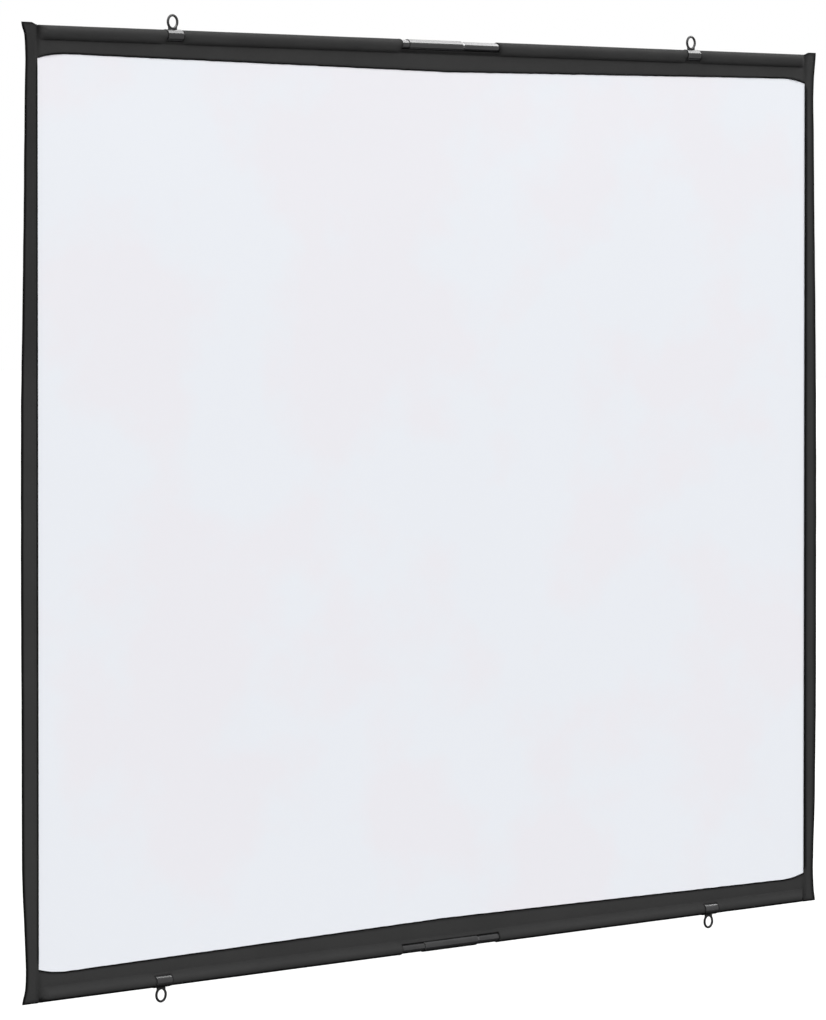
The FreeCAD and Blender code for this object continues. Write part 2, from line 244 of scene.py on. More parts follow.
class ScreenStudio(bpy.types.PropertyGroup):
    """The stage and its light."""

    sky: FloatProperty(name="Sky", description="Brightness of the white surround", default=1.467, min=0)
    ground: FloatProperty(name="Ground", description="Brightness from below", default=0.02, min=0)
    front_strip: FloatProperty(
        name="Front strip", description="Brightness of the nearer overhead strip that the steel shows",
        default=15, min=0,
    )
    back_strip: FloatProperty(
        name="Back strip", description="Brightness of the further overhead strip that the steel shows",
        default=5.8, min=0,
    )
    strip_height: FloatProperty(
        name="Strip height", description="Both strips, above the eyes' centres", default=0.35, unit="LENGTH",
    )
    floor_height: FloatProperty(
        name="Floor height", description="Floor under the screen", default=-1.75, unit="LENGTH",
    )
    mat_reach: FloatProperty(
        name="Mat reach", description="The dark mat in front of the screen; five times that behind",
        default=1.1, unit="LENGTH",
    )
    lens: FloatProperty(name="Lens", description="Focal length in millimetres", default=204.15, min=20)
    camera_place: FloatVectorProperty(
        name="Camera", description="Where the camera stands",
        default=(-5.5210, -5.0091, -0.2756), subtype="XYZ", unit="LENGTH", precision=4,
    )
    camera_turn: FloatProperty(
        name="Camera turn", description="Turn to the right of straight ahead",
        default=math.radians(47.434), subtype="ANGLE",
    )
    camera_tilt: FloatProperty(
        name="Camera tilt", description="Tilt downwards", default=math.radians(1.3), subtype="ANGLE",
    )
    camera_shift: FloatProperty(
        name="Camera shift", description="Upward shift as a share of the frame", default=-0.1290,
    )


def smooth(share):
    """The share eased, from 0 to 1."""
    share = np.clip(share, 0, 1)
    return share * share * (3 - 2 * share)


def waver(points, size, seed):
    """Even noise from -1 to 1 at each point, whose bumps are about the given size across."""
    start = Vector([seed * step for step in SEED_STEP])
    flat = np.asarray(points, float).reshape(-1, 3) / size
    values = [noise.noise(Vector(point) + start) for point in flat]
    return np.array(values).reshape(np.shape(points)[:-1])


def stations(breaks, step):
    """Places from the first break to the last, on every break and at most a step apart."""
    places = []
    for low, high in zip(breaks, breaks[1:]):
        count = max(1, math.ceil((high - low) / step - 1e-6))
        places.extend(np.linspace(low, high, count, endpoint=False))
    return np.array(places + [breaks[-1]])


def lengths_down(grid):
    """How far each point is along its column, from the first row."""
    steps = np.linalg.norm(np.diff(grid, axis=0), axis=2)
    return np.vstack([np.zeros(grid.shape[1]), np.cumsum(steps, axis=0)])


def facings(grid):
    """Outward normals of a grid whose first row faces the front."""
    across = np.cross(np.gradient(grid, axis=0), np.gradient(grid, axis=1))
    across /= np.maximum(np.linalg.norm(across, axis=2, keepdims=True), 1e-12)
    return across if across[0, grid.shape[1] // 2, 1] < 0 else -across


def shade_distance(share):
    """The distance from an edge at which the black cloth has that share of its brightness, in its painted shade."""
    return EDGE_DARK + (EDGE_CLEAR - EDGE_DARK) * (share - EDGE_SHADE) / (1 - EDGE_SHADE)


def fading(shade, share):
    """The same for a shade that clears as the share goes from 0 to 1."""
    return shade_distance(shade + (1 - shade) * smooth(share))


def valley(from_hem, down, at_fold):
    """The same for the painted shade in the soft valley where a hem crosses a pocket, deepest at the pocket's fold."""
    foot_shade, height, width = 0.85, 30 * MM, 8 * MM
    deep = at_fold + (foot_shade - at_fold) * np.clip(down / height, 0, 1) ** 0.7
    return fading(deep, from_hem / width)


def over_pocket(from_end):
    """How far a hem lies on a pocket, from 1 to 0, at that distance from the hem's end."""
    reach, ease = 46 * MM, 6 * MM
    return smooth((reach - from_end) / ease)


# Nodes and materials


def feed(tree, socket, value):
    """Joins a socket to another node's, or sets it."""
    if isinstance(value, bpy.types.NodeSocket):
        tree.links.new(value, socket)
    else:
        socket.default_value = value


def node(tree, kind, sockets=None, **settings):
    """A new node with its settings, and its sockets set or joined to another node's."""
    made = tree.nodes.new(kind)
    for name, value in settings.items():
        setattr(made, name, value)
    for name, value in (sockets or {}).items():
        feed(tree, made.inputs[name], value)
    return made


def math_node(tree, operation, value, *others):
    """The values put together, one after the other."""
    for other in others:
        value = node(tree, "ShaderNodeMath", {0: value, 1: other}, operation=operation).outputs[0]
    return value


def ramp(tree, value, low, high, to_low, to_high):
    sockets = {"Value": value, "From Min": low, "From Max": high, "To Min": to_low, "To Max": to_high}
    return node(tree, "ShaderNodeMapRange", sockets).outputs["Result"]


def spread(tree, noise_value, low, high):
    """A noise, spread from low to high."""
    return ramp(tree, noise_value, NOISE_LOW, NOISE_HIGH, low, high)


def scaled(tree, vector, scale):
    return node(tree, "ShaderNodeMapping", {"Vector": vector, "Scale": scale}).outputs["Vector"]


def noise_node(tree, vector, scale, detail=2.0, roughness=0.5):
    sockets = {"Vector": vector, "Scale": scale, "Detail": detail, "Roughness": roughness}
    return node(tree, "ShaderNodeTexNoise", sockets).outputs["Fac"]


def mixed(tree, share, first, second):
    """The first colour or height, going over to the second as the share goes from 0 to 1."""
    made = node(tree, "ShaderNodeMix", data_type="RGBA")
    for name, value in (("Factor_Float", share), ("A_Color", first), ("B_Color", second)):
        feed(tree, next(s for s in made.inputs if s.identifier == name), value)
    return next(s for s in made.outputs if s.identifier == "Result_Color")


def dyed(tree, colour, gain):
    """A colour made lighter or darker by a node's value."""
    made = node(tree, "ShaderNodeVectorMath", {0: tuple(colour), "Scale": gain}, operation="SCALE")
    return made.outputs["Vector"]


def rgba(colour):
    return (*colour, 1.0)


def own_place(tree):
    """Each point's place on its piece."""
    return node(tree, "ShaderNodeTexCoord").outputs["Object"]


def flat_place(tree):
    """Each point's place on the cloth laid flat."""
    return node(tree, "ShaderNodeUVMap", uv_map="cloth").outputs["UV"]


def attribute(tree, name):
    """Each point's number under that name."""
    return node(tree, "ShaderNodeAttribute", attribute_name=name).outputs["Fac"]


def bump(tree, height, strength, distance):
    sockets = {"Height": height, "Strength": strength, "Distance": distance}
    return node(tree, "ShaderNodeBump", sockets).outputs["Normal"]


def weave(tree, vector, pitch):
    """Height of a plain weave with that thread pitch: threads that pass over and under each other."""
    wave_to_a_unit = 0.314
    threads = scaled(tree, vector, (1 / pitch, 1 / pitch, 1 / pitch))
    waves = []
    for direction in ("X", "Y"):
        made = node(
            tree, "ShaderNodeTexWave", {"Vector": threads, "Scale": wave_to_a_unit, "Distortion": 0.0},
            wave_type="BANDS", bands_direction=direction, wave_profile="SIN",
        )
        waves.append(made.outputs["Fac"])
    over = node(tree, "ShaderNodeTexChecker", {"Vector": threads, "Scale": 1.0})
    return mixed(tree, over.outputs["Fac"], *waves)


def shell(name):
    """A new material and its tree."""
    material = bpy.data.materials.new(name)
    material.use_nodes = True
    return material, material.node_tree


def coated(material, sockets):
    """The material, with its shader's sockets set or joined to a node's."""
    tree = material.node_tree
    for name, value in sockets.items():
        feed(tree, tree.nodes["Principled BSDF"].inputs[name], value)
    return material


def sheet_white(finish):
    """White coating with a fine grain on canvas, in cooler and warmer patches."""
    material, tree = shell("sheet_white")
    place = own_place(tree)
    cloud = noise_node(tree, scaled(tree, place, (1, 1, 1.3)), 3.2, 4.0, 0.55)
    warmth = ramp(tree, cloud, 0.46, 0.56, 0.0, 1.0)
    grain = noise_node(tree, place, 2600.0)
    canvas = weave(tree, flat_place(tree), 0.45 * MM)
    height = math_node(tree, "ADD", canvas, math_node(tree, "MULTIPLY", grain, 0.8))
    return coated(material, {
        "Base Color": mixed(tree, warmth, rgba(finish.sheet_cool), rgba(finish.sheet_warm)),
        "Roughness": spread(tree, grain, 0.62, 0.78),
        "Specular IOR Level": 0.25,
        "Normal": bump(tree, height, 0.12, 0.1 * MM),
    })


def cloth_black(finish):
    """Black woven cloth with slubs, a little faded in places, with painted shade towards its edges and in its weave.
    """
    material, tree = shell("cloth_black")
    along = flat_place(tree)
    threads = weave(tree, along, 0.8 * MM)
    slubs = noise_node(tree, scaled(tree, along, (60, 900, 1)), 1.0, 3.0)
    fade = noise_node(tree, own_place(tree), 9.0, 4.0, 0.6)
    # Painted shade: darker in the weave's hollows, and near the edges, folds and seams by the attribute's distance
    lift = math_node(
        tree, "MULTIPLY", ramp(tree, threads, 0.0, 1.0, 0.88, 1.10), spread(tree, fade, 0.93, 1.07),
        ramp(tree, attribute(tree, "from_edge"), EDGE_DARK, EDGE_CLEAR, EDGE_SHADE, 1.0),
    )
    height = math_node(tree, "ADD", threads, math_node(tree, "MULTIPLY", slubs, 0.5))
    return coated(material, {
        "Base Color": dyed(tree, finish.cloth, lift),
        "Roughness": spread(tree, slubs, 0.78, 0.92),
        "Specular IOR Level": 0.02,
        "Normal": bump(tree, height, 0.35, 0.25 * MM),
    })


def sewing_thread(finish):
    """Black twisted thread."""
    material, tree = shell("sewing_thread")
    twist = noise_node(tree, own_place(tree), 2400.0, 1.0)
    return coated(material, {
        "Base Color": dyed(tree, finish.thread, spread(tree, twist, 0.8, 1.25)),
        "Roughness": 0.7,
        "Specular IOR Level": 0.1,
        "Normal": bump(tree, twist, 0.3, 0.1 * MM),
    })


def satin_paint(name, colour, bare, wear, smooth_side, rough_side, specular):
    """Dark satin paint with a fine peel, rubbed through to steel where the worn attribute is high.

    Where the under attribute is high, it is darkened by painted shade.
    """
    material, tree = shell(name)
    place = own_place(tree)
    peel = noise_node(tree, place, 1100.0)
    smudge = noise_node(tree, place, 45.0, 4.0, 0.6)
    scratch = noise_node(tree, scaled(tree, place, (30, 900, 900)), 1.0)
    flakes = ramp(tree, noise_node(tree, place, 420.0, 3.0), 0.42, 0.62, 0.0, wear)
    chipped = math_node(tree, "MULTIPLY", attribute(tree, "worn"), flakes)
    gain = math_node(
        tree, "MULTIPLY", spread(tree, smudge, 0.85, 1.15), spread(tree, scratch, 0.93, 1.07),
        ramp(tree, attribute(tree, "under"), 0.0, 1.0, 1.0, EDGE_SHADE),
    )
    return coated(material, {
        "Base Color": mixed(tree, chipped, dyed(tree, colour, gain), rgba(bare)),
        "Metallic": chipped,
        "Roughness": spread(tree, smudge, smooth_side, rough_side),
        "Specular IOR Level": specular,
        "Normal": bump(tree, peel, 0.08, 0.05 * MM),
    })


def moulded_plastic(finish):
    """Grained black plastic."""
    material, tree = shell("moulded_plastic")
    place = own_place(tree)
    grain = noise_node(tree, place, 1500.0, 3.0)
    gain = spread(tree, noise_node(tree, place, 60.0, 3.0), 0.85, 1.2)
    return coated(material, {
        "Base Color": dyed(tree, finish.plug, gain),
        "Roughness": spread(tree, grain, 0.45, 0.6),
        "Normal": bump(tree, grain, 0.2, 0.1 * MM),
    })


def finish_material(make, *values, **amounts):
    """The material of that name, made the first time it is asked for."""
    name = values[0] if isinstance(values[0], str) else make.__name__
    return bpy.data.materials.get(name) or make(*values, **amounts)


# Meshes


def piece(name, mesh, material):
    """A new object, with its mesh coated if it has a material."""
    made = bpy.data.objects.new(name, mesh)
    bpy.context.scene.collection.objects.link(made)
    if material:
        mesh.materials.clear()
        mesh.materials.append(material)
    return made


def on_body(made, body, solid=None):
    """Puts a piece on its body, in the place of its solid if it has one."""
    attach(made, body)
    if solid:
        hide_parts(solid)


def shade_smooth(mesh):
    mesh.polygons.foreach_set("use_smooth", np.ones(len(mesh.polygons), bool))
    mesh.update()


def mark_points(mesh, name, values):
    """Gives each point of a mesh a number, for its material to read."""
    layer = mesh.attributes.new(name, "FLOAT", "POINT")
    layer.data.foreach_set("value", np.asarray(values, np.float32))


def plain_mesh(made):
    """The mesh that an object's modifiers make. The object goes."""
    bpy.context.view_layer.update()
    evaluated = made.evaluated_get(bpy.context.evaluated_depsgraph_get())
    mesh = bpy.data.meshes.new_from_object(evaluated)
    made.modifiers.clear()
    bpy.data.objects.remove(made)
    return mesh


def grid_piece(name, grid, material, thickness, from_edge=None, keep=None, flat=None):
    """A cloth piece on a grid of points whose first row faces the front, with a metric UV map.

    Cells that keep leaves out are openings. The cloth's thickness goes inwards.
    """
    rows, columns = grid.shape[:2]
    if keep is None:
        keep = np.ones((rows - 1, columns - 1), bool)
    if flat is None:
        flat = np.stack([grid[:, :, 0], lengths_down(grid)], axis=2)
    index = np.arange(rows * columns).reshape(rows, columns)
    cells = np.stack([index[:-1, :-1], index[:-1, 1:], index[1:, 1:], index[1:, :-1]], axis=2)[keep]
    points = grid.reshape(-1, 3)
    corner = cells[0]
    facing = np.cross(points[corner[1]] - points[corner[0]], points[corner[3]] - points[corner[0]])
    if facing[1] > 0:
        cells = cells[:, ::-1]
    used, cells = np.unique(cells, return_inverse=True)
    cells = cells.reshape(-1, 4)
    mesh = bpy.data.meshes.new(name)
    mesh.from_pydata(points[used].tolist(), [], cells.tolist())
    layer = mesh.uv_layers.new(name="cloth")
    layer.data.foreach_set("uv", flat.reshape(-1, 2)[used][cells.ravel()].astype(np.float32).ravel())
    if from_edge is not None:
        mark_points(mesh, "from_edge", from_edge.ravel()[used])
    shade_smooth(mesh)
    made = piece(name, mesh, material)
    solid = made.modifiers.new("cloth_thickness", "SOLIDIFY")
    solid.thickness = thickness
    solid.offset = -1
    solid.use_even_offset = False
    return made


def lathe(name, profile, worn, place, material, underside_shade):
    """A closed solid turned round the X axis, from (x, radius) points that run round its section.

    Its underside is darkened by painted shade, by the share in grimy.
    """
    low_side, ease = 0.35, 0.35
    count = len(profile)
    angles = 2 * np.pi * np.arange(TURNED_SIDES) / TURNED_SIDES
    points, faces = [], []
    for step, angle in enumerate(angles):
        ahead = (step + 1) % TURNED_SIDES
        for i, (x, radius) in enumerate(profile):
            j = (i + 1) % count
            points.append(Vector((x, radius * math.sin(angle), radius * math.cos(angle))) + Vector(place))
            faces.append((step * count + i, step * count + j, ahead * count + j, ahead * count + i))
    mesh = bpy.data.meshes.new(name)
    mesh.from_pydata(points, [], faces)
    work = bmesh.new()
    work.from_mesh(mesh)
    bmesh.ops.recalc_face_normals(work, faces=work.faces)
    work.to_mesh(mesh)
    work.free()
    mark_points(mesh, "worn", np.tile(worn, TURNED_SIDES))
    # The painted shade on the underside, from its sides down
    under = smooth((-np.cos(angles) - low_side) / ease)
    mark_points(mesh, "under", underside_shade * np.repeat(under, count))
    shade_smooth(mesh)
    return piece(name, mesh, material)


def path_object(name, runs):
    """Open or closed lines of points with the way each point faces. A run is (points, facings, closed)."""
    points, facing, edges = [], [], []
    for run, faces, closed in runs:
        first = len(points)
        points.extend(map(tuple, run))
        facing.extend(map(tuple, faces))
        edges.extend((first + i, first + i + 1) for i in range(len(run) - 1))
        if closed:
            edges.append((first + len(run) - 1, first))
    mesh = bpy.data.meshes.new(name)
    mesh.from_pydata(points, edges, [])
    attribute = mesh.attributes.new("facing", "FLOAT_VECTOR", "POINT")
    attribute.data.foreach_set("vector", np.array(facing, np.float32).ravel())
    return piece(name, mesh, None)


def grown(path, tree, values):
    """The piece that a node tree grows on a path, whose place it takes."""
    name = path.name
    modifier = path.modifiers.new("grown", "NODES")
    modifier.node_group = tree
    for item in tree.interface.items_tree:
        if item.item_type == "SOCKET" and item.in_out == "INPUT" and item.name in values:
            modifier[item.identifier] = values[item.name]
    mesh = plain_mesh(path)
    mesh.name = name
    return piece(name, mesh, None)


def tree_with(name, sockets):
    """A geometry node tree with those inputs, and its input and output nodes."""
    tree = bpy.data.node_groups.new(name, "GeometryNodeTree")
    tree.interface.new_socket("Geometry", in_out="INPUT", socket_type="NodeSocketGeometry")
    for label, kind in sockets.items():
        tree.interface.new_socket(label, in_out="INPUT", socket_type=f"NodeSocket{kind}")
    tree.interface.new_socket("Geometry", in_out="OUTPUT", socket_type="NodeSocketGeometry")
    return tree, tree.nodes.new("NodeGroupInput").outputs, tree.nodes.new("NodeGroupOutput")


def round_tube(tree, line, radius, sides):
    """A capped tube along a curve."""
    ring = node(tree, "GeometryNodeCurvePrimitiveCircle", {"Radius": radius, "Resolution": sides})
    sockets = {"Curve": line, "Profile Curve": ring.outputs["Curve"], "Fill Caps": True}
    return node(tree, "GeometryNodeCurveToMesh", sockets).outputs["Mesh"]


def end_tree(tree, geometry, material, result):
    """Realizes, smooths and coats what a tree has made."""
    real = node(tree, "GeometryNodeRealizeInstances", {"Geometry": geometry})
    even = node(tree, "GeometryNodeSetShadeSmooth", {"Geometry": real.outputs["Geometry"]})
    coat = node(
        tree, "GeometryNodeSetMaterial", {"Geometry": even.outputs["Geometry"], "Material": material},
    )
    tree.links.new(coat.outputs["Geometry"], result.inputs["Geometry"])


def stitch_tree():
    """Arched stitches along a path, each a little out of line."""
    name, bend_steps, thread_sides = "stitch_row", 4, 5
    sink_in_radii, crest_in_radii = -0.9, 1.3
    if name in bpy.data.node_groups:
        return bpy.data.node_groups[name]
    tree, given, result = tree_with(name, {
        "Stitch Length": "Float", "Pitch": "Float", "Thread Radius": "Float", "Wander": "Float", "Seed": "Int",
        "Material": "Material",
    })
    line = node(tree, "GeometryNodeMeshToCurve", {"Mesh": given["Geometry"]})
    holes = node(
        tree, "GeometryNodeResampleCurve", {"Curve": line.outputs["Curve"], "Length": given["Pitch"]},
        mode="LENGTH",
    )
    half = math_node(tree, "MULTIPLY", given["Stitch Length"], 0.5)
    back = math_node(tree, "MULTIPLY", half, -1.0)
    sink = math_node(tree, "MULTIPLY", given["Thread Radius"], sink_in_radii)
    crest = math_node(tree, "MULTIPLY", given["Thread Radius"], crest_in_radii)
    ends = {
        end: node(tree, "ShaderNodeCombineXYZ", {"X": x, "Z": z}).outputs["Vector"]
        for end, x, z in (("Start", back, sink), ("Middle", 0.0, crest), ("End", half, sink))
    }
    bend = node(tree, "GeometryNodeCurveQuadraticBezier", {**ends, "Resolution": bend_steps})
    thread = round_tube(tree, bend.outputs["Curve"], given["Thread Radius"], thread_sides)
    facing = node(tree, "GeometryNodeInputNamedAttribute", {"Name": "facing"}, data_type="FLOAT_VECTOR")
    tangent = node(tree, "GeometryNodeInputTangent")
    turn = node(
        tree, "FunctionNodeAxesToRotation",
        {"Primary Axis": facing.outputs["Attribute"], "Secondary Axis": tangent.outputs["Tangent"]},
        primary_axis="Z", secondary_axis="X",
    )
    placed = node(
        tree, "GeometryNodeInstanceOnPoints",
        {"Points": holes.outputs["Curve"], "Instance": thread, "Rotation": turn.outputs["Rotation"]},
    )
    low = math_node(tree, "MULTIPLY", given["Wander"], -1.0)
    stray = node(tree, "FunctionNodeRandomValue", {"Seed": given["Seed"]}, data_type="FLOAT")
    for socket, value in zip([s for s in stray.inputs if s.type == "VALUE"], (low, given["Wander"])):
        tree.links.new(value, socket)
    drift = next(s for s in stray.outputs if s.type == "VALUE")
    swing = node(tree, "ShaderNodeCombineXYZ", {"Z": drift})
    strayed = node(
        tree, "GeometryNodeRotateInstances",
        {"Instances": placed.outputs["Instances"], "Rotation": swing.outputs["Vector"]},
    )
    end_tree(tree, strayed.outputs["Instances"], given["Material"], result)
    return tree


def edging_tree():
    """A rolled edge: a round bead along a path, with a distance that sets its painted shade."""
    name, bead_sides = "rolled_edge", 8
    if name in bpy.data.node_groups:
        return bpy.data.node_groups[name]
    tree, given, result = tree_with(name, {"Radius": "Float", "From Edge": "Float", "Material": "Material"})
    line = node(tree, "GeometryNodeMeshToCurve", {"Mesh": given["Geometry"]})
    bead = round_tube(tree, line.outputs["Curve"], given["Radius"], bead_sides)
    shade = node(
        tree, "GeometryNodeStoreNamedAttribute",
        {"Geometry": bead, "Name": "from_edge", "Value": given["From Edge"]}, data_type="FLOAT", domain="POINT",
    )
    end_tree(tree, shade.outputs["Geometry"], given["Material"], result)
    return tree


def stitched(name, runs, cloth, finish):
    """Stitches along all the runs, as one piece on the screen."""
    wander = 0.09
    made = grown(path_object(name, runs), stitch_tree(), {
        "Stitch Length": cloth.stitch_length, "Pitch": cloth.stitch_pitch, "Thread Radius": cloth.thread_radius,
        "Wander": wander, "Seed": cloth.seed, "Material": finish_material(sewing_thread, finish),
    })
    on_body(made, SCREEN)
    return made


# Cloth


class Pocket:
    """A pocket's points: columns along the bar and rows round the fold, from the front flap's foot to the back's.

    The bar's axis is at the origin and the sheet hangs down from it.
    """

    # Where its columns and rows lie
    END_INSET = 3 * MM
    COLUMN_STEP = 4.5 * MM
    RIM_STEP = 1.5 * MM
    FLATTENED_COLUMNS = 13
    ROUND_ROWS = 11
    FLAP_SHARES = (0, 0.06, 0.12, 0.22, 0.35, 0.5, 0.65, 0.8, 0.92, 1)
    # Rows beside those on the cut-outs' edges: above the seam, and below the bar's axis
    ABOVE_SEAM = (0.4 * MM, 1.3 * MM)
    BELOW_AXIS = 6.4 * MM
    # Under the hems the fold sinks and the flaps press together, from before the hem's edge
    TUCK_START, TUCK_RUN = 2 * MM, 5 * MM
    TUCK_DROP, TUCK_PRESS = 1.8 * MM, 0.05 * MM
    # The flap's foot: how uneven it is, and the row of stitches above it
    FOOT_WAVER, FOOT_WAVER_SIZE = 0.35 * MM, 14 * MM
    FOOT_STITCH_INSET = 2.6 * MM

    def __init__(self, cloth, collars, fullness, seed):
        self.cloth = cloth
        self.fullness = fullness
        self.flap_face = SHEET_FACE + cloth.thickness
        self.openings = [(0.0, cloth.window_width / 2, cloth.window_front, cloth.window_back)]
        self.openings += [(x, cloth.notch_width / 2, cloth.notch_depth, cloth.notch_depth) for x in collars]
        self.x = self.columns()
        self.rows(seed)

    def columns(self):
        """Places along the bar, closer beside the cut-outs and where the pocket flattens."""
        half_span = CLOTH_END - self.END_INSET
        breaks = {-half_span, half_span, -HALF_VIEW, HALF_VIEW}
        for middle, half, *_ in self.openings:
            for edge in (middle - half, middle + half):
                breaks.update(edge + step * self.RIM_STEP for step in (-2, -1, 0, 1, 2))
        for side in (-1, 1):
            round_end = side * (HALF_VIEW - self.cloth.flatten_length)
            breaks.update(np.linspace(round_end, side * (HALF_VIEW + 4 * MM), self.FLATTENED_COLUMNS))
        return stations(sorted(breaks), self.COLUMN_STEP)

    def depth(self):
        """The seam to the flap's foot."""
        cloth, away = self.cloth, np.abs(self.x)
        bow_end = HALF_VIEW - cloth.gusset_length
        bow = cloth.flap_middle - (cloth.flap_middle - cloth.flap_end) * np.minimum(away / bow_end, 1)
        gusset = np.clip((away - bow_end) / cloth.gusset_length, 0, 1)
        return bow + cloth.gusset_drop * gusset ** 2

    def rows(self, seed):
        """Sets the grid, the row of its seam and the rows at the cut-outs' levels."""
        cloth, x = self.cloth, self.x
        from_view = np.abs(x) - HALF_VIEW
        flat = smooth((from_view + cloth.flatten_length) / cloth.flatten_length)
        tuck = smooth((from_view + self.TUCK_START) / self.TUCK_RUN)
        gentle = 1 - tuck
        radius = POCKET_OUTER + (self.flap_face - POCKET_OUTER) * flat
        centre = POCKET_OUTER - radius - self.TUCK_DROP * tuck
        gap = self.flap_face - self.TUCK_PRESS * tuck
        drop = SEAM_DROP + centre
        lean = np.arccos(np.minimum(radius / np.hypot(gap, drop), 1))
        angle = np.arctan2(-drop, -gap) - lean + 2 * math.pi
        touch_y, touch_z = radius * np.cos(angle), centre + radius * np.sin(angle)
        straight = touch_z[len(x) // 2] + SEAM_DROP
        edges = {level for _, _, *levels in self.openings for level in levels}
        above_seam = {SEAM_DROP - height for height in self.ABOVE_SEAM}
        levels = sorted({*above_seam, self.BELOW_AXIS, *edges}, reverse=True)
        foot = self.depth() + self.FOOT_WAVER * waver(np.outer(x, (1, 0, 0)), self.FOOT_WAVER_SIZE, seed + 1) * gentle
        section = []
        for share in self.FLAP_SHARES:
            outward = -np.ones_like(x), np.zeros_like(x)
            section.append(("flap", share, (-gap, -SEAM_DROP - foot * (1 - share)), outward))
        for share in [(SEAM_DROP - level) / straight for level in levels] + [1]:
            at = -gap + (touch_y + gap) * share, -SEAM_DROP + (touch_z + SEAM_DROP) * share
            section.append(("side", share, at, (np.cos(angle), np.sin(angle))))
        for share in np.linspace(0, 1, self.ROUND_ROWS)[1:]:
            turn = angle + (math.pi / 2 - angle) * share
            at = radius * np.cos(turn), centre + radius * np.sin(turn)
            section.append(("round", share, at, (np.cos(turn), np.sin(turn))))
        self.seam_row = len(self.FLAP_SHARES) - 1
        self.level_rows = {round(level / MM, 3): self.seam_row + 1 + i for i, level in enumerate(levels)}
        self.front_rows = len(section)
        front = self.sheet_of(section, foot, flat, gentle, -1, seed)
        back = self.sheet_of(section, foot, flat, gentle, 1, seed + 11)
        crown = (front[-1] + back[-1]) / 2
        self.grid = np.concatenate([front[:-1], crown[None], back[-2::-1]])

    def flap_push(self, at, share, foot, seed):
        """Gathers below the seam, a slack middle, and a fan of creases beside each hem."""
        gather_drop, gather_size = 4 * MM, 11 * MM
        sag, sag_size = 0.3 * MM, 70 * MM
        fan_height, fan_from_hem, fan_width, fan_pitch = 0.45 * MM, 20 * MM, 15 * MM, 1.3 * MM
        from_seam = foot * (1 - share)
        gather = (from_seam / gather_drop) * np.exp(1 - from_seam / gather_drop)
        push = self.cloth.pucker * gather * (0.6 + 0.8 * waver(at, gather_size, seed)) * 0.7
        push += sag * math.sin(math.pi * share) * (0.6 + waver(at, sag_size, seed + 2))
        from_hem = HALF_VIEW - np.abs(self.x)
        fan = np.exp(-((from_hem - fan_from_hem) / fan_width) ** 2) * (1 - share)
        return push + fan_height * fan * (1 + np.sin((0.8 * from_hem + 1.1 * from_seam) / fan_pitch))

    def side_push(self, at, share, clear, seed):
        """Gathers between the seam and the bar."""
        gather_size = 10 * MM
        gather = math.sin(math.pi * min(share * 1.1, 1))
        return self.cloth.pucker * gather * clear * (0.4 + 0.9 * waver(at * (1, 0.4, 0.4), gather_size, seed + 3))

    def round_push(self, at, share, seed):
        """Slack on the bar."""
        slack_size = 45 * MM
        return self.cloth.slack * waver(at * (1, 2, 2), slack_size, seed + 4) * (1 - 0.5 * share)

    def sheet_of(self, section, foot, flat, gentle, side, seed):
        """One side's rows, front or back, with the gathers and the slack of sewn cloth.

        The sides lie straight at the notches, clear of the eyes as they turn.
        """
        rim_ease, belly_size, crease_height, crease_size = 12 * MM, 90 * MM, 0.5 * MM, 5 * MM
        x = self.x
        rows = []
        crease = np.sin(np.pi * np.clip(flat, 0, 1)) ** 2
        window, *notches = (smooth((np.abs(x - middle) - half) / rim_ease) for middle, half, *_ in self.openings)
        clear = np.min(notches, axis=0)
        fullness = self.fullness * (1 - flat) * gentle * (0.25 + 0.75 * window) * clear
        for stretch, share, (y, z), (out_y, out_z) in section:
            at = np.stack([x, y, z], axis=1)
            if stretch == "flap":
                push = self.flap_push(at, share, foot, seed)
            else:
                if stretch == "side":
                    push = self.side_push(at, share, clear, seed)
                else:
                    push = self.round_push(at, share, seed)
                push += crease_height * crease * waver(at * (1, 0.6, 0.6), crease_size, seed + 5)
                bulge = np.sqrt(np.maximum(1 - (z / SEAM_DROP) ** 2, 0))
                belly = self.flap_face + (POCKET_OUTER - self.flap_face) * bulge
                fuller = fullness * (1 + 0.2 * waver(at, belly_size, seed + 6))
                y = np.where(z < 0, y - fuller * (belly + y), y)
            push *= gentle
            rows.append(np.stack([x, -side * (y + push * out_y), z + push * out_z], axis=1))
        return np.array(rows)

    def mirror_row(self, row):
        """The same row on the other side."""
        return len(self.grid) - 1 - row

    def span(self, low, high):
        """The columns from low to high along the bar."""
        return np.flatnonzero((self.x > low - 1e-6) & (self.x < high + 1e-6))

    def rims(self):
        """Each cut-out's middle, half width and rows of its front and back edges."""
        for middle, half, *levels in self.openings:
            front, back = (self.level_rows[round(level / MM, 3)] for level in levels)
            yield middle, half, front, self.mirror_row(back)

    def kept(self):
        """Which cells are cloth, and not cut out."""
        keep = np.ones((len(self.grid) - 1, len(self.x) - 1), bool)
        for middle, half, front, back in self.rims():
            columns = self.span(middle - half, middle + half)
            keep[front:back, columns[0]:columns[-1]] = False
        return keep

